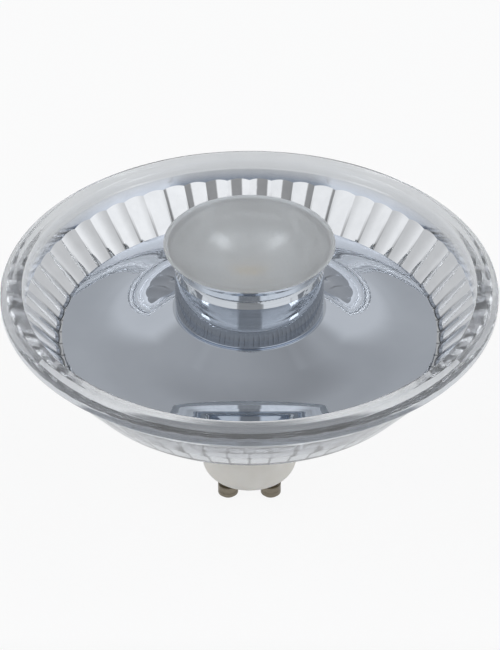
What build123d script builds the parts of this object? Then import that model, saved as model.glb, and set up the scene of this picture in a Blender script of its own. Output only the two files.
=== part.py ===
from build123d import *
import os

os.makedirs("parts", exist_ok=True)

# LED spot lamp with a fluted glass dish and a twist-lock two-pin base.
# Sizes in millimetres. The lamp's axis is Z: the pin tips are at Z = 0 and the lens looks up.

# Contact pins
pin_spacing = 10.0
pin_head_radius = 2.36
pin_head_length = 3.2
pin_neck_radius = 1.7
pin_neck_length = 2.4
pin_collar_length = 2.5
pin_chamfer = 0.6
pin_shank_radius = 1.5
pin_shank_proud = 1.4
pin_hole_clearance = 0.1

# Base shell
base_radius = 10.9
base_wall = 1.4
base_floor = 2.4
base_height = 16.9
base_edge_round = 3.0
flare_height = 3.6
socket_floor = 1.4
skirt_wall = 1.6
skirt_gap = 1.2
cement_thickness = 0.5
neck_end_gap = 0.3

# Glass dish: radii and widths, and depths measured down from the rim's top face
rim_radius = 55.5
rim_width = 5.1
crest_inset = 2.6
crest_round = 1.0
bead_top_depth = 1.3
bead_side_depth = 3.0
bead_round = 0.8
bead_overhang = 2.3
bead_depth = 4.8
mouth_round = 0.5
mouth_taper = 0.3
dish_depth = 35.8
shoulder_tuck = 1.8
shoulder_depth = 20.0
shoulder_round = 3.5
shoulder_inset = 3.4
neck_radius = 13.6
neck_wall = 2.6
neck_length = 5.2
neck_root_round = 1.5
funnel_wall = 3.0
ledge_depth = 14.1
ledge_width = 2.0
hollow_round = 2.0

# Flutes: convex ribs pressed into the dish, side by side, that run out into the smooth mouth
flute_count = 60
flute_top_depth = 5.6
flute_lean = 7.5
flute_bulge = 0.19

# Reflector plate and the sealant under its brim
sealant_width = 1.2
sealant_thickness = 0.3
plate_thickness = 0.7
plate_edge_gap = 0.4
plate_brim_width = 2.1
plate_land_margin = 0.6
plate_rise = 6.3
plate_cone_slope = 0.6
plate_brim_slope = 0.05
plate_fillet = 24.5
plate_hole_clearance = 0.2

# Polished cup
cup_radius = 16.6
cup_height = 12.5
cup_wall = 2.3
cup_floor = 3.0
cup_seat_wall = 1.5
cup_seat_depth = 2.6
cup_top_round = 0.4
cup_foot_round = 0.5
spigot_radius = 10.0
spigot_bore = 7.0
spigot_proud = 0.9

# Frosted lens
lens_overhang = 2.4
lens_rise = 3.9
lens_edge_round = 1.0
lens_rim_height = 1.1
lens_dome = 0.5
lens_wall = 1.6
lens_spigot_wall = 1.4
lens_groove_inset = 0.7
lens_groove_height = 0.5
lens_taper_curve = 4.2
lens_spigot_length = 1.5
lens_fit = 0.2

# Emitter, its board and the cone round it
pad_radius = 7.0
pad_thickness = 0.3
led_board_gap = 0.9
led_board_thickness = 1.6
emitter_radius = 4.5
emitter_thickness = 0.9
emitter_round = 0.3
cone_throat_radius = 5.0
cone_wall = 0.8
cone_flange = 0.8
cone_gap = 1.0
cone_curve = 14.0
cone_mouth_wall = 1.0
cone_fit = 0.2
screw_inset = 2.4
screw_radius = 1.15
screw_head_radius = 2.1
screw_head_height = 1.5
screw_length = 4.1
screw_clearance = 0.05

# Heat sink and nut
sink_thickness = 5.0
sink_radius = 15.5
sink_hub_radius = 13.0
sink_height = 10.0
fin_count = 16
fin_radius = 24.0
fin_thickness = 1.2
nut_width = 26.0
nut_height = 3.5
thread_clearance = 0.1

# Driver
sleeve_wall = 0.8
sleeve_fit = 0.2
sleeve_gap = 1.7
board_fit = 0.25
board_drop = 2.5
board_thickness = 1.2
board_offset = 2.0
transformer_width = 11.0
transformer_depth = 8.0
transformer_height = 8.0
transformer_drop = 0.5
electrolytic_radius = 3.15
electrolytic_gap = 1.0
electrolytic_offset = 3.7
film_width = 5.6
film_depth = 4.8
film_gap = 2.5
film_offset = 3.4
component_level = 5.0
fuse_radius = 1.3
fuse_length = 4.2
fuse_gap = 0.5
rectifier_width = 4.6
rectifier_depth = 1.6
rectifier_height = 3.9
rectifier_level = 4.5
chip_width = 5.0
chip_depth = 1.5
chip_height = 4.0
chip_level = 12.5

block_chamfer = 0.3
can_round = 0.4

# Leads
lead_radius = 0.5
lead_bend = 1.2
mains_lead_rise = 1.8
led_lead_offset = 2.0
led_lead_reach = 2.0
led_lead_drop = 2.5
led_lead_proud = 0.5
lead_clearance = 0.2

# Heights worked out from the sizes above
pin_length = pin_head_length + pin_neck_length + pin_collar_length
base_bottom = pin_length
base_inside = base_bottom + base_floor
socket_bottom = base_bottom + base_height
neck_end = socket_bottom + neck_end_gap
neck_root = neck_end + neck_length
rim_height = neck_end + dish_depth
skirt_top = neck_root - skirt_gap
ledge = rim_height - ledge_depth
brim_bottom = ledge + sealant_thickness
brim_top = brim_bottom + plate_thickness
land_top = brim_top + plate_rise
land_bottom = land_top - plate_thickness
cup_floor_top = land_top + cup_floor
cup_top = land_top + cup_height
cone_seat = cup_top - cup_seat_depth
led_board_bottom = cup_floor_top + pad_thickness
led_board_top = led_board_bottom + led_board_thickness
sink_bottom = land_bottom - sink_height
nut_bottom = sink_bottom - nut_height
spigot_bottom = nut_bottom - spigot_proud
sleeve_top = spigot_bottom - sleeve_gap
board_height = sleeve_top - board_drop - base_inside
transformer_level = board_height - transformer_drop - transformer_height
fuse_level = transformer_level - fuse_gap - fuse_radius
electrolytic_length = transformer_level - electrolytic_gap - component_level
film_height = fuse_level - fuse_radius - film_gap - component_level

# Radii and faces that pieces share
mouth_radius = rim_radius - rim_width
crest_radius = rim_radius - crest_inset
wall_top_radius = rim_radius - bead_overhang
flute_top_radius = mouth_radius - mouth_taper
flute_bottom_radius = flute_top_radius - flute_lean
ledge_radius = flute_bottom_radius - ledge_width
shoulder_radius = flute_bottom_radius - shoulder_tuck
plate_edge_radius = flute_bottom_radius - plate_edge_gap
plate_brim_radius = plate_edge_radius - plate_brim_width
plate_land_radius = cup_radius + plate_land_margin
base_bore = base_radius - base_wall
socket_radius = neck_radius + cement_thickness
neck_bore = neck_radius - neck_wall
spigot_hole = spigot_radius + plate_hole_clearance
sleeve_radius = base_bore - sleeve_fit
sleeve_bore = sleeve_radius - sleeve_wall
cup_seat_radius = cup_radius - cup_seat_wall
board_front = -board_offset
board_back = board_front - board_thickness
board_width = 2 * ((sleeve_bore - board_fit) ** 2 - board_back ** 2) ** 0.5
led_lead_y = board_back - led_lead_reach
lead_hole = lead_radius + lead_clearance
screw_hole = screw_radius + screw_clearance
cup_bore = cup_radius - cup_wall
led_board_radius = cup_bore - led_board_gap
screw_circle = led_board_radius - screw_inset
lens_radius = cup_radius + lens_overhang
lens_groove_radius = cup_radius - lens_groove_inset
lead_places = [(-led_lead_offset, led_lead_y), (led_lead_offset, led_lead_y)]
screw_places = [(-screw_circle, 0), (screw_circle, 0)]
pin_places = [(-pin_spacing / 2, 0), (pin_spacing / 2, 0)]


def corner_at(sketch, x, y):
    """The corner of a sketch that lies nearest to a point given in the sketch's own plane."""
    return sketch.vertices().sort_by_distance(Vector(x, y))[0]


# Fluted cavity of the dish: ribbed sections joined from the ledge to above the rim,
# kept only where they lie inside the smooth mouth, so that each rib ends in an arch
flute_slope = (flute_top_radius - flute_bottom_radius) / (ledge_depth - flute_top_depth)
mouth_slope = (mouth_radius - flute_top_radius) / flute_top_depth
cavity_top = rim_height + mouth_round
flute_end_radius = flute_bottom_radius + flute_slope * (cavity_top - ledge)

with BuildPart() as bowl_cavity:
    for level, rib_radius in ((ledge, flute_bottom_radius), (cavity_top, flute_end_radius)):
        bulge_radius = flute_bulge * rib_radius
        with BuildSketch(Plane.XY.offset(level)):
            Circle(rib_radius + bulge_radius / 2)
            with PolarLocations(rib_radius + bulge_radius, flute_count, start_angle=180 / flute_count):
                Circle(bulge_radius, mode=Mode.SUBTRACT)
    loft(ruled=True)
    with BuildSketch(Plane.XZ):
        with BuildLine():
            Polyline(
                (0, ledge),
                (mouth_radius - mouth_slope * ledge_depth, ledge),
                (mouth_radius + mouth_slope * mouth_round, cavity_top),
                (0, cavity_top),
                close=True,
            )
        make_face()
    revolve(axis=Axis.Z, mode=Mode.INTERSECT)

# Pressed-glass dish: flat-topped rim with a bevelled bead, conical wall, rounded shoulder, funnel and neck
funnel_slope = (rim_height - shoulder_depth - neck_root) / (shoulder_radius - neck_radius)
hollow_radius = shoulder_radius - shoulder_inset
hollow_corner = rim_height - shoulder_depth - funnel_slope * shoulder_inset + funnel_wall

with BuildPart() as glass_reflector:
    with BuildSketch(Plane.XZ) as dish_section:
        with BuildLine():
            Polyline(
                (ledge_radius, rim_height),
                (crest_radius, rim_height),
                (rim_radius, rim_height - bead_top_depth),
                (rim_radius, rim_height - bead_side_depth),
                (wall_top_radius, rim_height - bead_depth),
                (shoulder_radius, rim_height - shoulder_depth),
                (neck_radius, neck_root),
                (neck_radius, neck_end),
                (neck_bore, neck_end),
                (neck_bore, neck_root + funnel_wall - funnel_slope * (neck_radius - neck_bore)),
                (hollow_radius, hollow_corner),
                (ledge_radius, ledge),
                close=True,
            )
        make_face()
        fillet(corner_at(dish_section, shoulder_radius, rim_height - shoulder_depth), shoulder_round)
        fillet(corner_at(dish_section, neck_radius, neck_root), neck_root_round)
        fillet(corner_at(dish_section, hollow_radius, hollow_corner), hollow_round)
        fillet(corner_at(dish_section, crest_radius, rim_height), crest_round)
        fillet(corner_at(dish_section, rim_radius, rim_height - bead_top_depth), bead_round)
        fillet(corner_at(dish_section, rim_radius, rim_height - bead_side_depth), bead_round)
    revolve(axis=Axis.Z)
    add(bowl_cavity.part, mode=Mode.SUBTRACT)
    mouth_edge = glass_reflector.faces().sort_by(Axis.Z)[-1].edges().sort_by(SortBy.RADIUS)[0]
    fillet(mouth_edge, mouth_round)
glass_reflector.part.label = "glass_reflector"
export_step(glass_reflector.part, "parts/glass_reflector.step")

# Cement that holds the glass neck in the base
with BuildPart() as neck_cement:
    with BuildSketch(Plane.XY.offset(socket_bottom)):
        Circle(socket_radius)
        Circle(neck_radius, mode=Mode.SUBTRACT)
    extrude(amount=skirt_top - socket_bottom)
neck_cement.part.label = "neck_cement"
export_step(neck_cement.part, "parts/neck_cement.step")

# Moulded base: round plug with a floor, flared out to a socket for the glass neck
flare_top = socket_bottom - socket_floor
with BuildPart() as base_shell:
    with BuildSketch(Plane.XZ) as base_section:
        with BuildLine():
            Polyline(
                (0, base_bottom),
                (base_radius, base_bottom),
                (base_radius, flare_top - flare_height),
                (socket_radius + skirt_wall, flare_top),
                (socket_radius + skirt_wall, skirt_top),
                (socket_radius, skirt_top),
                (socket_radius, socket_bottom),
                (base_bore, socket_bottom),
                (base_bore, base_inside),
                (0, base_inside),
                close=True,
            )
        make_face()
        fillet(corner_at(base_section, base_radius, base_bottom), base_edge_round)
    revolve(axis=Axis.Z)
    with BuildSketch(Plane.XY.offset(base_bottom)):
        with Locations(*pin_places):
            Circle(pin_shank_radius + pin_hole_clearance)
    extrude(amount=base_floor, mode=Mode.SUBTRACT)
base_shell.part.label = "base_shell"
export_step(base_shell.part, "parts/base_shell.step")

# Contact pins: headed pins with a narrow neck for the holder's slot, a collar under the base
# and a shank through its floor
shank_top = base_inside + pin_shank_proud
for side, (pin_x, pin_y) in zip(("left", "right"), pin_places):
    with BuildPart() as contact_pin:
        with BuildSketch(Plane.XZ.shift_origin((pin_x, 0, 0))) as pin_section:
            with BuildLine():
                Polyline(
                    (0, 0),
                    (pin_head_radius, 0),
                    (pin_head_radius, pin_head_length),
                    (pin_neck_radius, pin_head_length),
                    (pin_neck_radius, pin_head_length + pin_neck_length),
                    (pin_head_radius, pin_head_length + pin_neck_length),
                    (pin_head_radius, pin_length),
                    (pin_shank_radius, pin_length),
                    (pin_shank_radius, shank_top),
                    (0, shank_top),
                    close=True,
                )
            make_face()
            chamfer(corner_at(pin_section, pin_head_radius, 0), pin_chamfer)
        revolve(axis=Axis((pin_x, pin_y, 0), (0, 0, 1)))
    contact_pin.part.label = f"contact_pin_{side}"
    export_step(contact_pin.part, f"parts/contact_pin_{side}.step")

# Insulating tube that stands in the base round the driver
with BuildPart() as driver_sleeve:
    with BuildSketch(Plane.XY.offset(base_inside)):
        Circle(sleeve_radius)
        Circle(sleeve_bore, mode=Mode.SUBTRACT)
    extrude(amount=sleeve_top - base_inside)
driver_sleeve.part.label = "driver_sleeve"
export_step(driver_sleeve.part, "parts/driver_sleeve.step")

# Driver board, on edge beside the pins' shanks
front_plane = Plane(origin=(0, board_front, base_inside), x_dir=(-1, 0, 0), z_dir=(0, 1, 0))
back_plane = Plane(origin=(0, board_back, base_inside), x_dir=(1, 0, 0), z_dir=(0, -1, 0))
with BuildPart() as driver_board:
    with BuildSketch(front_plane):
        Rectangle(board_width, board_height, align=(Align.CENTER, Align.MIN))
    extrude(amount=-board_thickness)
driver_board.part.label = "driver_board"
export_step(driver_board.part, "parts/driver_board.step")


def moulded_block(plane, offset, level, width, height, depth):
    """A component's moulded body that stands on one face of the driver board."""
    with BuildPart() as block:
        with BuildSketch(plane):
            with Locations((offset, level)):
                Rectangle(width, height, align=(Align.CENTER, Align.MIN))
        extrude(amount=depth)
        far_face = block.faces().sort_by(Axis(plane.origin, plane.z_dir))[-1]
        chamfer(far_face.edges(), block_chamfer)
    return block.part


# Components moulded as blocks, on the front and the back of the board
transformer = moulded_block(
    front_plane, 0, transformer_level, transformer_width, transformer_height, transformer_depth
)
transformer.label = "transformer"
export_step(transformer, "parts/transformer.step")

film_capacitor = moulded_block(
    front_plane, film_offset, component_level, film_width, film_height, film_depth
)
film_capacitor.label = "film_capacitor"
export_step(film_capacitor, "parts/film_capacitor.step")

bridge_rectifier = moulded_block(
    back_plane, 0, rectifier_level, rectifier_width, rectifier_height, rectifier_depth
)
bridge_rectifier.label = "bridge_rectifier"
export_step(bridge_rectifier, "parts/bridge_rectifier.step")

driver_chip = moulded_block(back_plane, 0, chip_level, chip_width, chip_height, chip_depth)
driver_chip.label = "driver_chip"
export_step(driver_chip, "parts/driver_chip.step")

# Electrolytic capacitor: upright can against the board
with BuildPart() as electrolytic_capacitor:
    with BuildSketch(Plane.XY.offset(base_inside + component_level)):
        with Locations((electrolytic_offset, board_front + electrolytic_radius)):
            Circle(electrolytic_radius)
    extrude(amount=electrolytic_length)
    fillet(electrolytic_capacitor.edges().filter_by(GeomType.CIRCLE), can_round)
electrolytic_capacitor.part.label = "electrolytic_capacitor"
export_step(electrolytic_capacitor.part, "parts/electrolytic_capacitor.step")

# Fuse resistor: small barrel lying across the board
fuse_plane = Plane(
    origin=(-film_offset, board_front + fuse_radius, base_inside + fuse_level),
    x_dir=(0, 1, 0),
    z_dir=(1, 0, 0),
)
with BuildPart() as fuse_resistor:
    with BuildSketch(fuse_plane):
        Circle(fuse_radius)
    extrude(amount=fuse_length / 2, both=True)
    fillet(fuse_resistor.edges().filter_by(GeomType.CIRCLE), can_round)
fuse_resistor.part.label = "fuse_resistor"
export_step(fuse_resistor.part, "parts/fuse_resistor.step")


def bent_lead(start, corner, end):
    """A round wire from start to end with one bend."""
    with BuildPart() as lead:
        with BuildLine() as route:
            FilletPolyline(start, corner, end, radius=lead_bend)
        with BuildSketch(Plane(origin=route.line @ 0, z_dir=route.line % 0)):
            Circle(lead_radius)
        sweep(path=route.line)
    return lead.part


# Mains leads from the pins' shanks to the driver board
mains_level = shank_top + mains_lead_rise
for side, (pin_x, pin_y) in zip(("left", "right"), pin_places):
    mains_lead = bent_lead(
        (pin_x, pin_y, shank_top), (pin_x, pin_y, mains_level), (pin_x, board_front, mains_level)
    )
    mains_lead.label = f"mains_lead_{side}"
    export_step(mains_lead, f"parts/mains_lead_{side}.step")

# Output leads from the driver board up through the cup's floor to the emitter's board
led_level = base_inside + board_height - led_lead_drop
for pole, (lead_x, lead_y) in zip(("negative", "positive"), lead_places):
    led_lead = bent_lead(
        (lead_x, board_back, led_level),
        (lead_x, lead_y, led_level),
        (lead_x, lead_y, led_board_top + led_lead_proud),
    )
    led_lead.label = f"led_lead_{pole}"
    export_step(led_lead, f"parts/led_lead_{pole}.step")

# Silicone ring that seats the plate on the dish's ledge
sealant_middle = (ledge_radius + plate_edge_radius) / 2
with BuildPart() as plate_sealant:
    with BuildSketch(Plane.XY.offset(ledge)):
        Circle(sealant_middle + sealant_width / 2)
        Circle(sealant_middle - sealant_width / 2, mode=Mode.SUBTRACT)
    extrude(amount=sealant_thickness)
plate_sealant.part.label = "plate_sealant"
export_step(plate_sealant.part, "parts/plate_sealant.step")

# Reflector plate: thin sheet spun to a steep cone under the cup that sweeps out into a nearly
# level dish; the cone's line and the dish's line meet at a corner, which is filleted
brim_fall = plate_brim_slope * plate_brim_radius
cone_fall = plate_cone_slope * plate_land_radius
plate_corner_radius = (plate_rise + cone_fall - brim_fall) / (plate_cone_slope - plate_brim_slope)
plate_corner_drop = plate_cone_slope * (plate_corner_radius - plate_land_radius)
with BuildPart() as reflector_plate:
    with BuildSketch(Plane.XZ):
        with BuildLine():
            Polyline(
                (plate_land_radius, land_top),
                (spigot_hole, land_top),
                (spigot_hole, land_bottom),
                (plate_land_radius, land_bottom),
            )
            for land_level, brim_level in ((land_bottom, brim_bottom), (land_top, brim_top)):
                FilletPolyline(
                    (plate_land_radius, land_level),
                    (plate_corner_radius, land_level - plate_corner_drop),
                    (plate_brim_radius, brim_level),
                    radius=plate_fillet,
                )
            Polyline(
                (plate_brim_radius, brim_bottom),
                (plate_edge_radius, brim_bottom),
                (plate_edge_radius, brim_top),
                (plate_brim_radius, brim_top),
            )
        make_face()
    revolve(axis=Axis.Z)
reflector_plate.part.label = "reflector_plate"
export_step(reflector_plate.part, "parts/reflector_plate.step")

# Heat sink: ring under the plate with a hub and radial fins
fin_middle = (sink_hub_radius + fin_radius) / 2
with BuildPart() as heat_sink:
    with BuildSketch(Plane.XY.offset(sink_bottom)):
        Circle(sink_hub_radius)
        with PolarLocations(fin_middle, fin_count):
            Rectangle(fin_radius - sink_hub_radius + fin_thickness, fin_thickness)
        Circle(spigot_hole, mode=Mode.SUBTRACT)
    extrude(amount=sink_height - sink_thickness)
    with BuildSketch(Plane.XY.offset(land_bottom - sink_thickness)):
        Circle(sink_radius)
        Circle(spigot_hole, mode=Mode.SUBTRACT)
    extrude(amount=sink_thickness)
heat_sink.part.label = "heat_sink"
export_step(heat_sink.part, "parts/heat_sink.step")

# Polished cup: turned in one piece with the hollow spigot that passes through the plate
with BuildPart() as lamp_cup:
    with BuildSketch(Plane.XZ) as cup_section:
        with BuildLine():
            Polyline(
                (0, land_top),
                (spigot_bore, land_top),
                (spigot_bore, spigot_bottom),
                (spigot_radius, spigot_bottom),
                (spigot_radius, land_top),
                (cup_radius, land_top),
                (cup_radius, cup_top),
                (cup_seat_radius, cup_top),
                (cup_seat_radius, cone_seat),
                (cup_bore, cone_seat),
                (cup_bore, cup_floor_top),
                (0, cup_floor_top),
                close=True,
            )
        make_face()
        fillet(corner_at(cup_section, cup_radius, cup_top), cup_top_round)
        fillet(corner_at(cup_section, cup_radius, land_top), cup_foot_round)
    revolve(axis=Axis.Z)
    with BuildSketch(Plane.XY.offset(cup_floor_top)):
        with Locations(*lead_places):
            Circle(lead_hole)
    extrude(amount=-cup_floor, mode=Mode.SUBTRACT)
    with BuildSketch(Plane.XY.offset(cup_floor_top)):
        with Locations(*screw_places):
            Circle(screw_hole)
    extrude(amount=led_board_top - screw_length - cup_floor_top, mode=Mode.SUBTRACT)
lamp_cup.part.label = "lamp_cup"
export_step(lamp_cup.part, "parts/lamp_cup.step")

# Hexagon nut that clamps the heat sink and the plate to the cup
with BuildPart() as cup_nut:
    with BuildSketch(Plane.XY.offset(nut_bottom)):
        RegularPolygon(nut_width / 2, 6, major_radius=False)
        Circle(spigot_radius + thread_clearance, mode=Mode.SUBTRACT)
    extrude(amount=nut_height)
cup_nut.part.label = "cup_nut"
export_step(cup_nut.part, "parts/cup_nut.step")

# Thermal pad between the cup's floor and the emitter's board
with BuildPart() as thermal_pad:
    with BuildSketch(Plane.XY.offset(cup_floor_top)):
        Circle(pad_radius)
        with Locations(*lead_places):
            Circle(lead_hole, mode=Mode.SUBTRACT)
    extrude(amount=pad_thickness)
thermal_pad.part.label = "thermal_pad"
export_step(thermal_pad.part, "parts/thermal_pad.step")

# Metal-core board with holes for its screws and leads
with BuildPart() as led_board:
    with BuildSketch(Plane.XY.offset(led_board_bottom)):
        Circle(led_board_radius)
        with Locations(*screw_places):
            Circle(screw_hole, mode=Mode.SUBTRACT)
        with Locations(*lead_places):
            Circle(lead_hole, mode=Mode.SUBTRACT)
    extrude(amount=led_board_thickness)
led_board.part.label = "led_board"
export_step(led_board.part, "parts/led_board.step")

# Emitter: round phosphor disc on the board
with BuildPart() as led_emitter:
    with BuildSketch(Plane.XY.offset(led_board_top)):
        Circle(emitter_radius)
    extrude(amount=emitter_thickness)
    fillet(led_emitter.faces().sort_by(Axis.Z)[-1].edges(), emitter_round)
led_emitter.part.label = "led_emitter"
export_step(led_emitter.part, "parts/led_emitter.step")

# Two pan-head screws through the board into the cup's floor
with BuildPart() as board_screws:
    with BuildSketch(Plane.XY.offset(led_board_top - screw_length)):
        with Locations(*screw_places):
            Circle(screw_radius)
    extrude(amount=screw_length)
    with BuildSketch(Plane.XY.offset(led_board_top)):
        with Locations(*screw_places):
            Circle(screw_head_radius)
    extrude(amount=screw_head_height)
    fillet(board_screws.faces().sort_by(Axis.Z)[-2:].edges(), can_round)
board_screws.part.label = "board_screws"
export_step(board_screws.part, "parts/board_screws.step")

# Reflector cone: bowl with a flange that hangs in the cup's counterbore
cone_bottom = led_board_top + cone_gap
cone_top = cone_seat + cone_flange
cone_mouth_radius = cup_bore - cone_mouth_wall
with BuildPart() as inner_reflector:
    with BuildSketch(Plane.XZ):
        with BuildLine():
            RadiusArc((cone_throat_radius, cone_bottom), (cone_mouth_radius, cone_top), -cone_curve)
            Polyline(
                (cone_mouth_radius, cone_top),
                (cup_seat_radius - cone_fit, cone_top),
                (cup_seat_radius - cone_fit, cone_seat),
                (cone_mouth_radius + cone_wall, cone_seat),
            )
            RadiusArc(
                (cone_throat_radius + cone_wall, cone_bottom),
                (cone_mouth_radius + cone_wall, cone_seat),
                -cone_curve,
            )
            Line((cone_throat_radius + cone_wall, cone_bottom), (cone_throat_radius, cone_bottom))
        make_face()
    revolve(axis=Axis.Z)
inner_reflector.part.label = "inner_reflector"
export_step(inner_reflector.part, "parts/inner_reflector.step")

# Frosted lens: shallow dome with a rounded overhanging edge, drawn in like a bowl to a groove above the cup
lens_edge = cup_top + lens_rise
lens_top = lens_edge + lens_rim_height
lens_spigot_radius = cup_seat_radius - lens_fit
lens_bore = lens_spigot_radius - lens_spigot_wall
lens_hollow_radius = lens_radius - lens_wall
dome_radius = (lens_radius ** 2 + lens_dome ** 2) / (2 * lens_dome)
with BuildPart() as diffuser_lens:
    with BuildSketch(Plane.XZ) as lens_section:
        with BuildLine():
            Polyline(
                (0, lens_top + lens_dome - lens_wall),
                (lens_hollow_radius, lens_top - lens_wall),
                (lens_bore, cup_top),
                (lens_bore, cup_top - lens_spigot_length),
                (lens_spigot_radius, cup_top - lens_spigot_length),
                (lens_spigot_radius, cup_top),
                (lens_groove_radius, cup_top),
                (lens_groove_radius, cup_top + lens_groove_height),
            )
            RadiusArc(
                (lens_groove_radius, cup_top + lens_groove_height),
                (lens_radius, lens_edge),
                -lens_taper_curve,
            )
            Line((lens_radius, lens_edge), (lens_radius, lens_top))
            RadiusArc((0, lens_top + lens_dome), (lens_radius, lens_top), dome_radius)
            Line((0, lens_top + lens_dome), (0, lens_top + lens_dome - lens_wall))
        make_face()
        fillet(corner_at(lens_section, lens_radius, lens_top), lens_edge_round)
    revolve(axis=Axis.Z)
diffuser_lens.part.label = "diffuser_lens"
export_step(diffuser_lens.part, "parts/diffuser_lens.step")
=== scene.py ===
import math

import bmesh
import bpy
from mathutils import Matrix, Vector


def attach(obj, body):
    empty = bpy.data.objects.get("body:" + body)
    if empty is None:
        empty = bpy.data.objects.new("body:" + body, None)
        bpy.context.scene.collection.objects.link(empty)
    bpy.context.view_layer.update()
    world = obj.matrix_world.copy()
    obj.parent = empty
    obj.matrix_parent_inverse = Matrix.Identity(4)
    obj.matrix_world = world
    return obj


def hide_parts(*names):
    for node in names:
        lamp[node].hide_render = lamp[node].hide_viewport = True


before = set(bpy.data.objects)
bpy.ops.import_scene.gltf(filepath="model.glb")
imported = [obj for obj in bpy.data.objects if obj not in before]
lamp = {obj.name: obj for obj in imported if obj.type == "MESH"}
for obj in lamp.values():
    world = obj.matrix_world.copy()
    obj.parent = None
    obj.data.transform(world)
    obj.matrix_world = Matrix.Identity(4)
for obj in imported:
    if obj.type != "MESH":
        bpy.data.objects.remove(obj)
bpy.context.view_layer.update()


# Contact pins. Two turned pins of nickel-plated brass, headed for the holder's keyhole slots,
# with a narrow neck above the head; they are riveted through the floor of the base.
def new_finish(name, metallic=0.0):
    """A node material, its node tree and its main shader."""
    finish = bpy.data.materials.new(name)
    finish.use_nodes = True
    tree = finish.node_tree
    shader = tree.nodes["Principled BSDF"]
    shader.inputs["Metallic"].default_value = metallic
    return finish, tree, shader


def grain(tree, scale, detail=3.0, stretch=(1, 1, 1)):
    """Cloudy noise in the piece's own metres, drawn out along an axis where stretch is small."""
    place = tree.nodes.new("ShaderNodeTexCoord")
    draw_out = tree.nodes.new("ShaderNodeMapping")
    draw_out.inputs["Scale"].default_value = stretch
    tree.links.new(place.outputs["Object"], draw_out.inputs["Vector"])
    noise = tree.nodes.new("ShaderNodeTexNoise")
    noise.inputs["Scale"].default_value = scale
    noise.inputs["Detail"].default_value = detail
    noise.inputs["Roughness"].default_value = 0.55
    tree.links.new(draw_out.outputs["Vector"], noise.inputs["Vector"])
    return noise.outputs["Fac"]


def between(tree, source, low, high, start=0.3, end=0.7):
    """A number that runs from low to high as the source runs from start to end."""
    spread = tree.nodes.new("ShaderNodeMapRange")
    spread.inputs["From Min"].default_value = start
    spread.inputs["From Max"].default_value = end
    spread.inputs["To Min"].default_value = low
    spread.inputs["To Max"].default_value = high
    tree.links.new(source, spread.inputs["Value"])
    return spread.outputs["Result"]


def tint(tree, source, dark, light, start=0.3, end=0.7):
    """A colour that runs from dark to light as the source runs from start to end."""
    ramp = tree.nodes.new("ShaderNodeValToRGB")
    ramp.color_ramp.elements[0].position = start
    ramp.color_ramp.elements[0].color = (*dark, 1)
    ramp.color_ramp.elements[1].position = end
    ramp.color_ramp.elements[1].color = (*light, 1)
    tree.links.new(source, ramp.inputs["Fac"])
    return ramp.outputs["Color"]


def coat(tree, shader, source, dark, light, smooth, rough):
    """Colour and roughness that follow the source together, from dark and smooth to light and rough."""
    tree.links.new(tint(tree, source, dark, light), shader.inputs["Base Color"])
    tree.links.new(between(tree, source, smooth, rough), shader.inputs["Roughness"])


def relief(tree, shader, source, depth, strength):
    """Fine relief, its depth in metres, on the shader's surface."""
    bump = tree.nodes.new("ShaderNodeBump")
    bump.inputs["Distance"].default_value = depth
    bump.inputs["Strength"].default_value = strength
    tree.links.new(source, bump.inputs["Height"])
    tree.links.new(bump.outputs["Normal"], shader.inputs["Normal"])


def dress(finish, *names):
    """Give CAD nodes a finish in place of the plain one they were packed with."""
    for name in names:
        lamp[name].data.materials.clear()
        lamp[name].data.materials.append(finish)


pin_nickel, tree, shader = new_finish("pin_nickel", metallic=1.0)
turning = grain(tree, 900, stretch=(0.05, 0.05, 1.0))
coat(tree, shader, turning, dark=(0.21, 0.185, 0.14), light=(0.34, 0.30, 0.24), smooth=0.22, rough=0.38)
relief(tree, shader, turning, depth=0.00002, strength=0.5)
dress(pin_nickel, "contact_pin_left", "contact_pin_right")


# Base. A round plug moulded in off-white heat-resistant plastic, slightly waxy, rounded at its foot;
# it flares out under the dish to a socket for the glass neck.
base_plastic, tree, shader = new_finish("base_plastic")
cloud = grain(tree, 140, detail=4.0)
coat(tree, shader, cloud, dark=(0.76, 0.73, 0.67), light=(0.84, 0.81, 0.76), smooth=0.34, rough=0.46)
shader.inputs["Subsurface Weight"].default_value = 0.25
shader.inputs["Subsurface Radius"].default_value = (1.0, 0.85, 0.7)
shader.inputs["Subsurface Scale"].default_value = 0.002
relief(tree, shader, grain(tree, 2600, detail=2.0), depth=0.000012, strength=0.5)
dress(base_plastic, "base_shell")


# Glass dish. Pressed in one piece: a clear rim with a rounded bead, a conical wall whose inside is ribbed
# with sixty convex flutes, a rounded shoulder, and a funnel that ends in the neck. The inside is
# aluminised from just under the lip down, so the outside shows the back of that mirror through the glass.
def extent(name):
    """A CAD node's outer radius, and the heights of its foot and its top."""
    spots = [lamp[name].matrix_world @ vert.co for vert in lamp[name].data.vertices]
    heights = [spot.z for spot in spots]
    return max(spot.xy.length for spot in spots), min(heights), max(heights)


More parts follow.
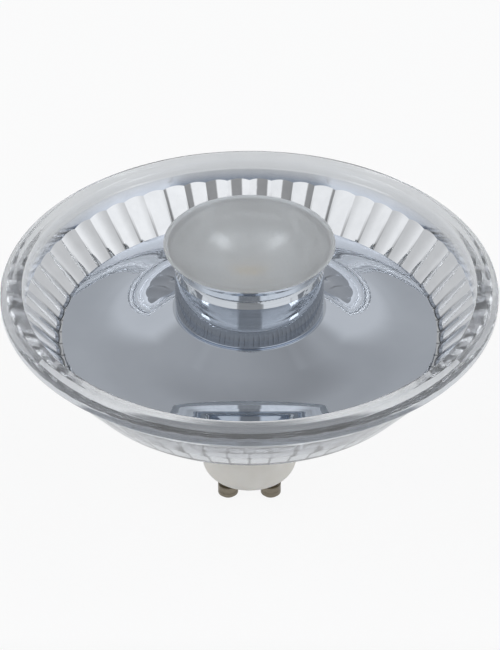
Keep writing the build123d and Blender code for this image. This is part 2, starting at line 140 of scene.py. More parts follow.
RIM_RADIUS, NECK_END, LIP_HEIGHT = extent("glass_reflector")
FLUTES = 60
FLUTE_STEPS = 12                 # mesh steps round each flute
BULGE = 0.19                     # radius of a flute's bulge over the radius of its crest
FLUTE_FOOT, FLUTE_HEAD, LIP, CREST = 0.0426, 0.0501, 0.0504, 0.0529
LEDGE, FLUTE_HEAD_HEIGHT, COAT_EDGE_HEIGHT = 0.0470, 0.0555, 0.0581
BEAD_TOP, BEAD_FOOT = 0.0598, 0.0581
LINE_RADIUS, LINE_HALF_WIDTH, LINE_DEPTH = 0.0541, 0.0001, 0.00012     # a fine line in the rim's bevel
NECK_RADIUS, BORE, NECK_ROOT = 0.0136, 0.0110, 0.0305
HOLLOW_EDGE, LEDGE_EDGE, FUNNEL_WALL = 0.0374, 0.0406, 0.0030          # the wall is measured upright
LIP_ROUND, CREST_ROUND, BEAD_ROUND = 0.0005, 0.0010, 0.0008
SHOULDER_ROUND, ROOT_ROUND, HOLLOW_ROUND = 0.0035, 0.0015, 0.0020
FLUTE_ROWS, COAT_ROWS, CLEAR_ROWS = 9, 3, 2                            # mesh rows up the inside


def rounded(corner, before, after, radius, steps):
    """Points of the arc that rounds a profile's corner, from the side of one neighbour to the other."""
    corner, before, after = Vector(corner), Vector(before), Vector(after)
    to_before, to_after = (before - corner).normalized(), (after - corner).normalized()
    half = to_before.angle(to_after) / 2
    centre = corner + (to_before + to_after).normalized() * radius / math.sin(half)
    first = (corner + to_before * radius / math.tan(half)) - centre
    last = (corner + to_after * radius / math.tan(half)) - centre
    turn = first.angle_signed(last)
    arc = []
    for k in range(steps + 1):
        part = -turn * k / steps
        out = first.x * math.cos(part) - first.y * math.sin(part)
        up = first.x * math.sin(part) + first.y * math.cos(part)
        arc.append(tuple(centre + Vector((out, up))))
    return arc


def run(start, end, steps):
    """Points between two places on a profile, both ends left out."""
    return [tuple(Vector(start).lerp(Vector(end), k / steps)) for k in range(1, steps)]


# Corners of the profile as radius and height, from the mouth over the rim, down to the neck and up inside
mouth_foot, lip, crest = (FLUTE_HEAD, FLUTE_HEAD_HEIGHT), (LIP, LIP_HEIGHT), (CREST, LIP_HEIGHT)
bead_top, bead_foot = (RIM_RADIUS, BEAD_TOP), (RIM_RADIUS, BEAD_FOOT)
wall_head, shoulder = (0.0532, 0.0563), (0.0408, 0.0411)
neck_root, neck_end, bore_end = (NECK_RADIUS, NECK_ROOT), (NECK_RADIUS, NECK_END), (BORE, NECK_END)
bevel_slope = (BEAD_TOP - LIP_HEIGHT) / (RIM_RADIUS - CREST)
funnel_slope = (shoulder[1] - NECK_ROOT) / (shoulder[0] - NECK_RADIUS)


def funnel_inside(radius):
    """The place on the funnel's inner face at a radius."""
    return (radius, NECK_ROOT + FUNNEL_WALL + funnel_slope * (radius - NECK_RADIUS))


bore_root, hollow, ledge_edge = funnel_inside(BORE), funnel_inside(HOLLOW_EDGE), (LEDGE_EDGE, LEDGE)

mouth_arc = rounded(lip, mouth_foot, crest, LIP_ROUND, steps=5)
crest_arc = rounded(crest, lip, bead_top, CREST_ROUND, steps=4)
shoulder_arc = rounded(shoulder, wall_head, neck_root, SHOULDER_ROUND, steps=10)
root_arc = rounded(neck_root, shoulder, neck_end, ROOT_ROUND, steps=5)
hollow_arc = rounded(hollow, bore_root, ledge_edge, HOLLOW_ROUND, steps=6)

rim_to_ledge = mouth_arc + run(mouth_arc[-1], crest_arc[0], steps=3) + crest_arc
for off, depth in ((-LINE_HALF_WIDTH, 0), (0, LINE_DEPTH), (LINE_HALF_WIDTH, 0)):
    bevel_height = LIP_HEIGHT + bevel_slope * (LINE_RADIUS + off - CREST)
    rim_to_ledge.append((LINE_RADIUS + off, bevel_height - depth))
rim_to_ledge += rounded(bead_top, crest, bead_foot, BEAD_ROUND, steps=6)
rim_to_ledge += rounded(bead_foot, bead_top, wall_head, BEAD_ROUND, steps=6)
rim_to_ledge += [wall_head] + run(wall_head, shoulder_arc[0], steps=8) + shoulder_arc
rim_to_ledge += run(shoulder_arc[-1], root_arc[0], steps=8) + root_arc
rim_to_ledge += [neck_end, bore_end, bore_root]
rim_to_ledge += run(bore_root, hollow_arc[0], steps=8) + hollow_arc + [ledge_edge]
first_mirror_row = rim_to_ledge.index(bore_end)
hollow_row = rim_to_ledge.index(hollow_arc[0])         # from here up the flutes run on behind the plate

flute_slope = (FLUTE_HEAD - FLUTE_FOOT) / (FLUTE_HEAD_HEIGHT - LEDGE)
mouth_slope = (LIP - FLUTE_HEAD) / (LIP_HEIGHT - FLUTE_HEAD_HEIGHT)


def flute_swell(angle):
    """How far out the fluted section lies at an angle, as a multiple of its crest's radius."""
    pitch = 2 * math.pi / FLUTES
    off = (angle % pitch) - pitch / 2
    return (1 + BULGE) * math.cos(off) - math.sqrt(BULGE ** 2 - ((1 + BULGE) * math.sin(off)) ** 2)


def inside_of_dish(angle):
    """The inner profile at an angle: up a flute to its arch, then up the mouth, coated and then clear.

    The arch is where the flute's cone, swollen at this angle, meets the mouth's own cone.
    """
    swell = flute_swell(angle)
    mouth_apex = FLUTE_HEAD - mouth_slope * FLUTE_HEAD_HEIGHT
    flute_apex = swell * (FLUTE_FOOT - flute_slope * LEDGE)
    arch = (mouth_apex - flute_apex) / (swell * flute_slope - mouth_slope)
    foot = (swell * FLUTE_FOOT, LEDGE)
    head = (FLUTE_HEAD + mouth_slope * (arch - FLUTE_HEAD_HEIGHT), arch)
    coat_edge = (FLUTE_HEAD + mouth_slope * (COAT_EDGE_HEIGHT - FLUTE_HEAD_HEIGHT), COAT_EDGE_HEIGHT)
    flute = [foot] + run(foot, head, FLUTE_ROWS) + [head]
    coated = run(head, coat_edge, COAT_ROWS) + [coat_edge]
    return flute + coated + run(coat_edge, mouth_arc[0], CLEAR_ROWS)


dish_mesh = bmesh.new()
columns = []
for step in range(FLUTES * FLUTE_STEPS):
    angle = 2 * math.pi * step / (FLUTES * FLUTE_STEPS)
    profile = rim_to_ledge + inside_of_dish(angle)
    for row in range(hollow_row, len(rim_to_ledge)):
        profile[row] = (flute_swell(angle) * profile[row][0], profile[row][1])
    spots = [(r * math.cos(angle), r * math.sin(angle), z) for r, z in profile]
    columns.append([dish_mesh.verts.new(spot) for spot in spots])
rows = len(columns[0])
flute_foot_row = len(rim_to_ledge)
arch_row = flute_foot_row + FLUTE_ROWS
coat_edge_row = arch_row + COAT_ROWS
sharp_rows = {rim_to_ledge.index(p) for p in (wall_head, neck_end, bore_end, bore_root, ledge_edge)}
sharp_rows |= {flute_foot_row, arch_row}
groove_rows = [*range(hollow_row, flute_foot_row - 1), *range(flute_foot_row, arch_row)]
for step, column in enumerate(columns):
    onward = columns[(step + 1) % len(columns)]
    for row in range(rows):
        beyond = (row + 1) % rows
        face = dish_mesh.faces.new((column[row], column[beyond], onward[beyond], onward[row]))
        face.smooth = True
        face.material_index = 1 if first_mirror_row <= row < coat_edge_row else 0
for step, column in enumerate(columns):
    onward = columns[(step + 1) % len(columns)]
    for row in sharp_rows:
        dish_mesh.edges.get((column[row], onward[row])).smooth = False
    if step % FLUTE_STEPS == 0:
        for row in groove_rows:
            dish_mesh.edges.get((column[row], column[row + 1])).smooth = False
bmesh.ops.recalc_face_normals(dish_mesh, faces=dish_mesh.faces)


def as_piece(name, mesh):
    """A piece in the scene, made from a finished mesh."""
    data = bpy.data.meshes.new(name)
    mesh.to_mesh(data)
    mesh.free()
    piece = bpy.data.objects.new(name, data)
    bpy.context.scene.collection.objects.link(piece)
    return piece


dish = as_piece("fluted_dish", dish_mesh)

GLASS_IOR = 1.5
pressed_glass, tree, shader = new_finish("pressed_glass")
shader.inputs["Transmission Weight"].default_value = 0.92
shader.inputs["IOR"].default_value = GLASS_IOR
flow = grain(tree, 90, detail=2.0, stretch=(1, 1, 2.5))
coat(tree, shader, flow, dark=(0.945, 0.96, 0.97), light=(0.975, 0.985, 0.99), smooth=0.05, rough=0.09)


def number(tree, operation, first, second=None):
    """One step of arithmetic on one or two numbers, each a constant or another node's result."""
    step = tree.nodes.new("ShaderNodeMath")
    step.operation = operation
    for socket, value in zip(step.inputs, (first, second)):
        if isinstance(value, (int, float)):
            socket.default_value = value
        elif value is not None:
            tree.links.new(value, socket)
    return step.outputs[0]


def place_in(tree, space):
    """The three coordinates of the spot being painted, in the space named."""
    place = tree.nodes.new("ShaderNodeTexCoord")
    axes = tree.nodes.new("ShaderNodeSeparateXYZ")
    tree.links.new(place.outputs[space], axes.inputs["Vector"])
    return axes.outputs["X"], axes.outputs["Y"], axes.outputs["Z"]


COAT_AT_EDGE = 0.25                                    # how much of a mirror it is at its upper edge
# painted shade in the grooves: a thin dark line along each one, deepest at the ledge and gone up the
# flutes
GROOVE_PAINTED_SHADE, SHADE_FROM, SHADE_TO = 0.35, 0.002, 0.009          # clears between these angles off a groove
LOW_PAINTED_SHADE, SHADE_TOP = 0.45, FLUTE_HEAD_HEIGHT - 0.0025          # and from the ledge up to this height
mirror_coat, tree, shader = new_finish("mirror_coat")
shader.inputs["Transmission Weight"].default_value = 1.0
shader.inputs["IOR"].default_value = GLASS_IOR
across, along, upward = place_in(tree, "Object")
mirrored = between(tree, upward, 1.0, COAT_AT_EDGE, FLUTE_HEAD_HEIGHT, COAT_EDGE_HEIGHT)
tree.links.new(mirrored, shader.inputs["Metallic"])
# painted shade: the coat's colour darkens in a thin line along each groove between the flutes, most low
# down
off_groove = number(tree, "PINGPONG", number(tree, "ARCTAN2", along, across), math.pi / FLUTES)
painted_groove_shade = between(tree, off_groove, GROOVE_PAINTED_SHADE, 1.0, SHADE_FROM, SHADE_TO)
painted_shade_by_height = between(tree, upward, LOW_PAINTED_SHADE, 1.0, LEDGE, SHADE_TOP)
haze = grain(tree, 300)
silver_with_painted_shade = tree.nodes.new("ShaderNodeVectorMath")
silver_with_painted_shade.operation = "SCALE"
tree.links.new(tint(tree, haze, dark=(0.84, 0.85, 0.87), light=(0.90, 0.91, 0.93)), silver_with_painted_shade.inputs[0])
tree.links.new(number(tree, "MAXIMUM", painted_groove_shade, painted_shade_by_height), silver_with_painted_shade.inputs["Scale"])
tree.links.new(silver_with_painted_shade.outputs["Vector"], shader.inputs["Base Color"])
tree.links.new(between(tree, haze, 0.03, 0.06), shader.inputs["Roughness"])
relief(tree, shader, grain(tree, 700, detail=2.0), depth=0.00002, strength=0.3)

dish.data.materials.append(pressed_glass)
dish.data.materials.append(mirror_coat)
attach(dish, "root")
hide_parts("glass_reflector")


# Cement. A ring of pale refractory cement between the glass neck and the socket of the base.
# It is pressed in wet, and holds the two together when it has set.
neck_cement, tree, shader = new_finish("neck_cement")
sand = grain(tree, 1500, detail=5.0)
sandy = tint(tree, sand, dark=(0.50, 0.46, 0.40), light=(0.72, 0.69, 0.63))
tree.links.new(sandy, shader.inputs["Base Color"])
shader.inputs["Roughness"].default_value = 0.9
relief(tree, shader, sand, depth=0.0001, strength=0.6)
dress(neck_cement, "neck_cement")


# Driver. A circuit board on edge in an insulating tube inside the base, with a transformer, capacitors,
# a fuse resistor, a rectifier and a chip soldered to it, and insulated leads to the pins and the emitter.
GLOSS_SPREAD, SKIN_FINENESS = 0.12, 4


def moulded(name, dark, light, gloss, scale=500):
    """A moulded or lacquered finish with a slight mottle and a fine skin."""
    finish, tree, shader = new_finish(name)
    coat(tree, shader, grain(tree, scale), dark, light, smooth=gloss, rough=gloss + GLOSS_SPREAD)
    relief(tree, shader, grain(tree, scale * SKIN_FINENESS, detail=2.0), depth=0.00001, strength=0.4)
    return finish


dress(moulded("sleeve_film", (0.80, 0.80, 0.77), (0.88, 0.88, 0.86), 0.40), "driver_sleeve")
dress(moulded("board_lacquer", (0.02, 0.16, 0.06), (0.03, 0.22, 0.09), 0.22), "driver_board")
dress(moulded("winding_tape", (0.58, 0.40, 0.05), (0.68, 0.50, 0.09), 0.35), "transformer")
dress(moulded("can_sleeve", (0.012, 0.013, 0.018), (0.03, 0.03, 0.04), 0.25), "electrolytic_capacitor")
dress(moulded("film_dip", (0.36, 0.03, 0.02), (0.46, 0.05, 0.03), 0.20), "film_capacitor")
dress(moulded("fuse_dip", (0.08, 0.26, 0.32), (0.12, 0.34, 0.40), 0.25), "fuse_resistor")
chip_epoxy = moulded("chip_epoxy", (0.010, 0.010, 0.011), (0.025, 0.025, 0.027), 0.50)
dress(chip_epoxy, "bridge_rectifier", "driver_chip")
mains_wire = moulded("mains_wire", (0.12, 0.05, 0.02), (0.16, 0.07, 0.03), 0.30)
dress(mains_wire, "mains_lead_left", "mains_lead_right")
dress(moulded("red_wire", (0.42, 0.02, 0.015), (0.52, 0.03, 0.02), 0.30), "led_lead_positive")
dress(moulded("black_wire", (0.012, 0.012, 0.012), (0.025, 0.025, 0.025), 0.30), "led_lead_negative")


# Heat sink and nut. A finned aluminium ring under the plate and a hexagon nut on the cup's spigot,
# which clamps the ring and the plate together.
sink_metal, tree, shader = new_finish("sink_metal", metallic=1.0)
cast = grain(tree, 1200)
coat(tree, shader, cast, dark=(0.58, 0.59, 0.60), light=(0.70, 0.71, 0.72), smooth=0.35, rough=0.5)
relief(tree, shader, cast, depth=0.00002, strength=0.5)
dress(sink_metal, "heat_sink", "cup_nut")


# Reflector plate. Thin aluminium sheet spun over a former: a cone under the cup that sweeps out into
# a shallow dish and turns up very slightly at its brim. It is mirror-coated, and a ring of silicone
# seats it on the ledge of the glass.
sealant, tree, shader = new_finish("sealant")
smear = grain(tree, 600)
milky = tint(tree, smear, dark=(0.74, 0.74, 0.73), light=(0.82, 0.82, 0.81))
tree.links.new(milky, shader.inputs["Base Color"])
shader.inputs["Roughness"].default_value = 0.6
relief(tree, shader, smear, depth=0.00005, strength=0.4)
dress(sealant, "plate_sealant")

plate_mirror, tree, shader = new_finish("plate_mirror", metallic=1.0)
smoke = grain(tree, 55)
coat(tree, shader, smoke, dark=(0.69, 0.735, 0.81), light=(0.75, 0.795, 0.87), smooth=0.015, rough=0.035)


def spun(name, profile, corners, closed, second=(), steps=192):
    """A piece turned about the lamp's axis; the rows listed as second take the second finish."""
    mesh = bmesh.new()
    turn = [2 * math.pi * k / steps for k in range(steps)]
    rings = [[mesh.verts.new((r * math.cos(a), r * math.sin(a), z)) for a in turn] for r, z in profile]
    onward = rings[1:] + rings[:1] if closed else rings[1:]
    for row, (ring, beyond) in enumerate(zip(rings, onward)):
        for k in range(steps):
            ahead = (k + 1) % steps
            face = mesh.faces.new((ring[k], beyond[k], beyond[ahead], ring[ahead]))
            face.smooth = True
            face.material_index = 1 if row in second else 0
    for corner in corners:
        ring = rings[profile.index(corner)]
        for k in range(steps):
            mesh.edges.get((ring[k], ring[(k + 1) % steps])).smooth = False
    if not closed:
        bmesh.ops.remove_doubles(mesh, verts=rings[0] + rings[-1], dist=0.0001)
    bmesh.ops.recalc_face_normals(mesh, faces=mesh.faces)
    return as_piece(name, mesh)


PLATE_EDGE, _, LAND_TOP = extent("reflector_plate")
PLATE_HOLE, LAND_EDGE, SHEET = 0.0102, 0.0172, 0.0008
CONE_SLOPE, CONE_EDGE = 0.560, 0.02265
SWEEP_ROUND, SWEEP_EDGE = 0.0240, 0.03315              # the arc that sweeps out of the cone, and its end
DISH_SLOPE, DISH_START, DISH_CURVE = 0.0375, 0.0345, 1.72
BRIM_RISE, BRIM_START = 0.018, 0.0395
SHEET_STEPS = 100


def fall(radius):
    """How steeply the sheet falls outwards: down a cone, a round sweep, a flattening dish and a brim."""
    if radius < DISH_START:
        swept = min(max(radius, CONE_EDGE), SWEEP_EDGE) - CONE_EDGE
        slope = math.tan(math.asin(math.sin(math.atan(CONE_SLOPE)) - swept / SWEEP_ROUND))
        return slope + (DISH_SLOPE - slope) * max(radius - SWEEP_EDGE, 0) / (DISH_START - SWEEP_EDGE)
    to_brim = max(BRIM_START - radius, 0) / (BRIM_START - DISH_START)
    return (DISH_SLOPE + BRIM_RISE) * to_brim ** DISH_CURVE - BRIM_RISE


land_edge = (LAND_EDGE, LAND_TOP)
sheet_top = [(PLATE_HOLE, LAND_TOP), land_edge]
sheet_step = (PLATE_EDGE - LAND_EDGE) / SHEET_STEPS
for step in range(SHEET_STEPS):
    r, z = sheet_top[-1]
    sheet_top.append((r + sheet_step, z - sheet_step * fall(r + sheet_step / 2)))
sheet_foot = [(r, z - SHEET) for r, z in reversed(sheet_top)]
plate_corners = [sheet_top[0], land_edge, sheet_top[-1], sheet_foot[0], sheet_foot[-2], sheet_foot[-1]]
plate = spun("spun_plate", sheet_top + sheet_foot, plate_corners, closed=True)
plate.data.materials.append(plate_mirror)
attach(plate, "root")
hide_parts("reflector_plate")


# Polished cup. Turned from aluminium in one piece with its hollow spigot, and polished bright, with the
# edge of its mouth eased by a fine chamfer; it stands on the plate and carries the emitter and the lens.
cup_polish, tree, shader = new_finish("cup_polish", metallic=1.0)
lathe = grain(tree, 1500, detail=2.0, stretch=(0.04, 0.04, 1.0))
coat(tree, shader, lathe, dark=(0.58, 0.61, 0.65), light=(0.66, 0.69, 0.73), smooth=0.01, rough=0.025)

CUP_RADIUS, _, CUP_TOP = extent("lamp_cup")
SEAT_RADIUS = 0.0151
CHAMFER_FOOT, CHAMFER_LEAN = 0.0651, 0.344             # its lower edge, and its lean inwards over height
ABOVE_FOOT_ROUND, BELOW_MOUTH_ROUND = 0.0552, 0.0661   # cuts here keep each rounding's shading apart
WELD, CUT, SAME_LEVEL = 0.000002, 0.000001, 0.00001    # distances that count as none
CREASE = math.radians(28)
cup_mesh = bmesh.new()
cup_mesh.from_mesh(lamp["lamp_cup"].data)
cup_mesh.transform(lamp["lamp_cup"].matrix_world)
bmesh.ops.remove_doubles(cup_mesh, verts=cup_mesh.verts, dist=WELD)
for level in (ABOVE_FOOT_ROUND, CHAMFER_FOOT, BELOW_MOUTH_ROUND):
    whole = cup_mesh.verts[:] + cup_mesh.edges[:] + cup_mesh.faces[:]
    bmesh.ops.bisect_plane(cup_mesh, geom=whole, dist=CUT, plane_co=(0, 0, level), plane_no=(0, 0, 1))
for face in cup_mesh.faces:
    face.smooth = True
for edge in cup_mesh.edges:
    at_chamfer = all(abs(vert.co.z - CHAMFER_FOOT) < SAME_LEVEL for vert in edge.verts)
    edge.smooth = not at_chamfer and edge.calc_face_angle(0) < CREASE
for vert in cup_mesh.verts:
    radius = vert.co.xy.length
    if vert.co.z > CHAMFER_FOOT and radius > (CUP_RADIUS + SEAT_RADIUS) / 2:
        vert.co.xy *= 1 - CHAMFER_LEAN * (vert.co.z - CHAMFER_FOOT) / radius
cup = as_piece("turned_cup", cup_mesh)
if "custom_normal" in cup.data.attributes:
    cup.data.attributes.remove(cup.data.attributes["custom_normal"])
cup.data.materials.append(cup_polish)
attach(cup, "root")
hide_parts("lamp_cup")


# Emitter. A round patch of yellow phosphor on a white-lacquered metal board, screwed down over a soft
# heat-conducting pad on the cup's floor.
dress(moulded("pad_rubber", (0.40, 0.41, 0.43), (0.50, 0.51, 0.53), 0.7), "thermal_pad")
dress(moulded("board_white", (0.80, 0.80, 0.78), (0.88, 0.88, 0.86), 0.25), "led_board")
dress(moulded("phosphor", (0.88, 0.50, 0.05), (0.95, 0.60, 0.10), 0.5, scale=1500), "led_emitter")
screw_plate, tree, shader = new_finish("screw_plate", metallic=1.0)
brushed = grain(tree, 1400, detail=2.0)
coat(tree, shader, brushed, dark=(0.48, 0.48, 0.49), light=(0.62, 0.62, 0.63), smooth=0.25, rough=0.4)
dress(screw_plate, "board_screws")


# Reflector cone. A small bowl of metallised plastic, moulded with a flange round its upper edge;
# it hangs by that flange in the cup, round the emitter.
cone_silver, tree, shader = new_finish("cone_silver", metallic=1.0)
peel = grain(tree, 800, detail=2.0)
coat(tree, shader, peel, dark=(0.82, 0.83, 0.84), light=(0.88, 0.89, 0.90), smooth=0.08, rough=0.16)
relief(tree, shader, peel, depth=0.00003, strength=0.3)
dress(cone_silver, "inner_reflector")


# Lens. Moulded in clear plastic: its shallow dome, its rolled edge and the underside of that edge are
# frosted. The side below tapers in, ends nearly upright and is polished, so that it looks silvered.
# A groove parts it from the cup, and a spigot sits in the cup's mouth.
LENS_RADIUS, _, LENS_APEX = extent("diffuser_lens")
LENS_EDGE, ROLL, ROLL_STEPS, DOME = 0.0713, 0.0040, 12, 0.0002
GROOVE_RADIUS, GROOVE_TOP = 0.0161, 0.0675
SPIGOT_RADIUS, SPIGOT_BORE, SPIGOT_DEPTH = 0.0149, 0.0135, 0.0015
CENTRE = 0.00001                                       # rings this small are merged into one point
side_head, side_knee, side_foot = (0.0179, 0.0705), (0.0171, 0.0690), (0.0169, 0.0676)
groove_top, groove_foot = (GROOVE_RADIUS, GROOVE_TOP), (GROOVE_RADIUS, CUP_TOP)
dome_near, dome_far = (0.0050, LENS_APEX - 0.1 * DOME), (0.0100, LENS_APEX - 0.5 * DOME)
roof_edge, roof_far, roof_centre = (0.0165, 0.0701), (0.0090, 0.0706), (CENTRE, 0.0707)

lens_profile = [(CENTRE, LENS_APEX), dome_near, dome_far]
roll_height = LENS_APEX - DOME - LENS_EDGE
for step in range(ROLL_STEPS + 1):
    roll = math.pi / 2 * step / ROLL_STEPS
    roll_radius = LENS_RADIUS - ROLL + ROLL * math.sin(roll)
    lens_profile.append((roll_radius, LENS_EDGE + roll_height * math.cos(roll)))
lens_edge = lens_profile[-1]
lens_profile += run(lens_edge, side_head, steps=4) + [side_head]
lens_profile += run(side_head, side_knee, steps=4) + [side_knee, side_foot, groove_top, groove_foot]
lens_profile += [(SPIGOT_RADIUS, CUP_TOP), (SPIGOT_RADIUS, CUP_TOP - SPIGOT_DEPTH)]
lens_profile += [(SPIGOT_BORE, CUP_TOP - SPIGOT_DEPTH), (SPIGOT_BORE, CUP_TOP)]
lens_profile += [roof_edge, roof_far, roof_centre]
polished_rows = range(lens_profile.index(side_head), lens_profile.index(groove_foot))
lens_corners = [lens_edge, side_head, side_knee, side_foot, groove_top, groove_foot]
lens = spun("frosted_lens", lens_profile, lens_corners, closed=False, second=polished_rows, steps=144)

EDGE_LIGHT_FROM, EDGE_LIGHT_TO = 0.0130, 0.0180             # radii over which the lens edge is made lighter, as painted light
INNER_LET_THROUGH, EDGE_LET_THROUGH = 0.72, 0.67                   # the share of light that each lets through
frosted, tree, shader = new_finish("frosted")
frost = grain(tree, 2200)
coat(tree, shader, frost, dark=(0.92, 0.945, 0.965), light=(0.96, 0.98, 0.995), smooth=0.32, rough=0.36)
spot = tree.nodes.new("ShaderNodeTexCoord")
flatten = tree.nodes.new("ShaderNodeVectorMath")
flatten.operation = "MULTIPLY"
flatten.inputs[1].default_value = (1, 1, 0)
tree.links.new(spot.outputs["Object"], flatten.inputs[0])
outward = tree.nodes.new("ShaderNodeVectorMath")
outward.operation = "LENGTH"
tree.links.new(flatten.outputs["Vector"], outward.inputs[0])
# painted light: less gets through towards the edge, so the frosting's white shows more, standing in for
# light the taper throws up
let_through = between(tree, outward.outputs["Value"], INNER_LET_THROUGH, EDGE_LET_THROUGH, EDGE_LIGHT_FROM, EDGE_LIGHT_TO)
tree.links.new(let_through, shader.inputs["Transmission Weight"])
shader.inputs["IOR"].default_value = 1.49

bright_taper, tree, shader = new_finish("bright_taper", metallic=1.0)
polish = grain(tree, 900, detail=2.0)
coat(tree, shader, polish, dark=(0.70, 0.72, 0.74), light=(0.78, 0.80, 0.82), smooth=0.02, rough=0.05)

lens.data.materials.append(frosted)
lens.data.materials.append(bright_taper)
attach(lens, "root")
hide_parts("diffuser_lens")


# Studio. A white floor under the pins with a dark strip across it before the lamp, white walls of light
# at both sides, a grey ceiling, grey gaps before and behind the lamp, two soft lamps, and a long lens
# at the photograph's angle.
scene = bpy.context.scene
FLOOR_RADIUS, FLOOR_DROP = 1.6, 0.0002
floor_mesh = bmesh.new()
bmesh.ops.create_circle(floor_mesh, cap_ends=True, segments=96, radius=FLOOR_RADIUS)
floor = as_piece("floor", floor_mesh)
floor.location.z = -FLOOR_DROP

SEEN_WHITE = 0.90                                      # share of plain white that the camera sees in it
GLOW_NEAR, GLOW_FAR = 0.42, 0.16                       # and that mirrors see, under the lamp and behind
GLOW_FADE, STRIP_BACK, STRIP_FRONT = (0.05, 0.09), (-0.062, -0.050), (-0.250, -0.300)
paper, tree, shader = new_finish("paper")
along = place_in(tree, "Object")[1]
# painted shade: the paper is darker in a strip across the floor before the lamp, so the front of the glass
# shows shade
behind_strip = between(tree, along, 0.0, 1.0, *STRIP_BACK)
before_strip = between(tree, along, 0.0, 1.0, *STRIP_FRONT)
pale = number(tree, "MAXIMUM", behind_strip, before_strip)
paper_tone = tint(tree, pale, dark=(0.24, 0.25, 0.27), light=(0.76, 0.77, 0.79), start=0, end=1)
tree.links.new(paper_tone, shader.inputs["Base Color"])
shader.inputs["Roughness"].default_value = 0.9
rays = tree.nodes.new("ShaderNodeLightPath")
from_mirrors = number(tree, "MAXIMUM", rays.outputs["Is Glossy Ray"], rays.outputs["Is Transmission Ray"])
# painted light: mirrors and glass see the floor glow brighter under the lamp, where its shadow falls, than
# behind it
under_glow = number(tree, "MULTIPLY", pale, between(tree, along, GLOW_NEAR, GLOW_FAR, *GLOW_FADE))
to_mirrors = number(tree, "MULTIPLY", from_mirrors, under_glow)
to_camera = number(tree, "MULTIPLY", rays.outputs["Is Camera Ray"], SEEN_WHITE)
glow = tree.nodes.new("ShaderNodeEmission")
glow.inputs["Color"].default_value = (1, 1, 1, 1)
whiten = tree.nodes.new("ShaderNodeMixShader")
tree.links.new(number(tree, "ADD", to_camera, to_mirrors), whiten.inputs["Fac"])
tree.links.new(shader.outputs["BSDF"], whiten.inputs[1])
tree.links.new(glow.outputs["Emission"], whiten.inputs[2])
tree.links.new(whiten.outputs["Shader"], tree.nodes["Material Output"].inputs["Surface"])
floor.data.materials.append(paper)


def soft_step(tree, value, start, end):
    """From 0 to 1, smoothly, as the value runs from start to end."""
    step = tree.nodes.new("ShaderNodeMapRange")
    step.interpolation_type = "SMOOTHSTEP"
    step.inputs["From Min"].default_value = start
    step.inputs["From Max"].default_value = end
    tree.links.new(value, step.inputs["Value"])
    return step.outputs["Result"]


def blend(tree, low, high, share):
    """A brightness between two others."""
    rest = number(tree, "SUBTRACT", 1.0, share)
    return number(tree, "ADD", number(tree, "MULTIPLY", low, rest), number(tree, "MULTIPLY", high, share))


PANEL_LIGHT, PANEL_LEAN = 0.94, 0.05                   # the right panel is a little brighter
PANEL_BACK, PANEL_FRONT, PANEL_TOP = (-0.30, 0.35), (0.94, 0.965), (0.86, 0.92)
PANEL_LIFT, LIFT_OVER = 0.05, (0.2, 0.6)               # the panels reach higher towards the front
BACK_LOW, BACK_HIGH, BACK_FADE = 0.61, 0.41, (0.46, 0.64)
GAP_LOW, GAP_HIGH, GAP_FADE = 0.36, 0.30, (0.10, 0.30)
WALL_TURN = (0.0, 0.6)                                 # where the back wall gives way to the front gap
CEILING_LIGHT, CEILING_LEAN, CEILING_FADE = 0.37, 0.10, (0.70, 0.94)
studio = bpy.data.worlds.new("studio")
studio.use_nodes = True
scene.world = studio
tree = studio.node_tree
sky = tree.nodes["Background"]
across, along, height = place_in(tree, "Generated")
reach = number(tree, "SQRT", number(tree, "SUBTRACT", 1.0, number(tree, "POWER", height, 2.0)))
reach = number(tree, "MAXIMUM", reach, 0.001)          # never none, straight up and down
forward = number(tree, "DIVIDE", number(tree, "MULTIPLY", along, -1.0), reach)

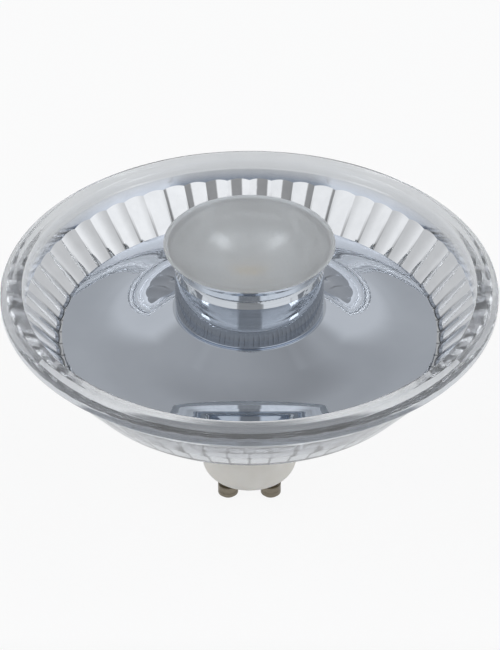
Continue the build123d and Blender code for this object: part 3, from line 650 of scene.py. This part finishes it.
before_gap = number(tree, "SUBTRACT", 1.0, soft_step(tree, forward, *PANEL_FRONT))
flanks = number(tree, "MULTIPLY", soft_step(tree, forward, *PANEL_BACK), before_gap)
panel_lift = number(tree, "MULTIPLY", soft_step(tree, forward, *LIFT_OVER), PANEL_LIFT)
over_panel = soft_step(tree, number(tree, "SUBTRACT", height, panel_lift), *PANEL_TOP)
panels = number(tree, "MULTIPLY", flanks, number(tree, "SUBTRACT", 1.0, over_panel))
back_wall = blend(tree, BACK_LOW, BACK_HIGH, soft_step(tree, height, *BACK_FADE))
gap = blend(tree, GAP_LOW, GAP_HIGH, soft_step(tree, height, *GAP_FADE))
walls = blend(tree, back_wall, gap, soft_step(tree, forward, *WALL_TURN))
ceiling_fall = number(tree, "MULTIPLY", number(tree, "ADD", across, along), CEILING_LEAN)
ceiling = number(tree, "SUBTRACT", CEILING_LIGHT, ceiling_fall)
room = blend(tree, walls, ceiling, soft_step(tree, height, *CEILING_FADE))
panel_light = number(tree, "ADD", PANEL_LIGHT, number(tree, "MULTIPLY", across, PANEL_LEAN))
tree.links.new(blend(tree, room, panel_light, panels), sky.inputs["Strength"])
sky.inputs["Color"].default_value = (0.97, 0.985, 1.0, 1)

BOX_SIDE, BOX_FRONT, BOX_HEIGHT = 0.95, -0.35, 0.75
box_aim = Vector((0, 0, 0.05))
for name, side in (("left_lamp", -1), ("right_lamp", 1)):
    soft_light = bpy.data.lights.new(name, "AREA")
    soft_light.shape = "RECTANGLE"
    soft_light.size, soft_light.size_y = 0.30, 1.20
    soft_light.energy = 3.5
    soft_box = bpy.data.objects.new(name, soft_light)
    soft_box.location = (side * BOX_SIDE, BOX_FRONT, BOX_HEIGHT)
    soft_box.rotation_euler = (box_aim - soft_box.location).to_track_quat("-Z", "Y").to_euler()
    soft_box.visible_glossy = False
    scene.collection.objects.link(soft_box)

CAMERA_DISTANCE, CAMERA_RISE = 0.650, math.radians(35.39)              # from the middle of the rim
RIM_HEIGHT = 0.0597
aim = Vector((0.00013, 0, 0.0489))
camera_data = bpy.data.cameras.new("camera")
camera_data.sensor_width = 36.0
camera_data.lens = 161.45
camera = bpy.data.objects.new("camera", camera_data)
camera.location.y = -CAMERA_DISTANCE * math.cos(CAMERA_RISE)
camera.location.z = RIM_HEIGHT + CAMERA_DISTANCE * math.sin(CAMERA_RISE)
camera.rotation_euler = (aim - camera.location).to_track_quat("-Z", "Y").to_euler()
scene.collection.objects.link(camera)
scene.camera = camera
scene.view_settings.view_transform = "Standard"
scene.cycles.glossy_bounces = 16
scene.cycles.transmission_bounces = 16
scene.cycles.max_bounces = 24
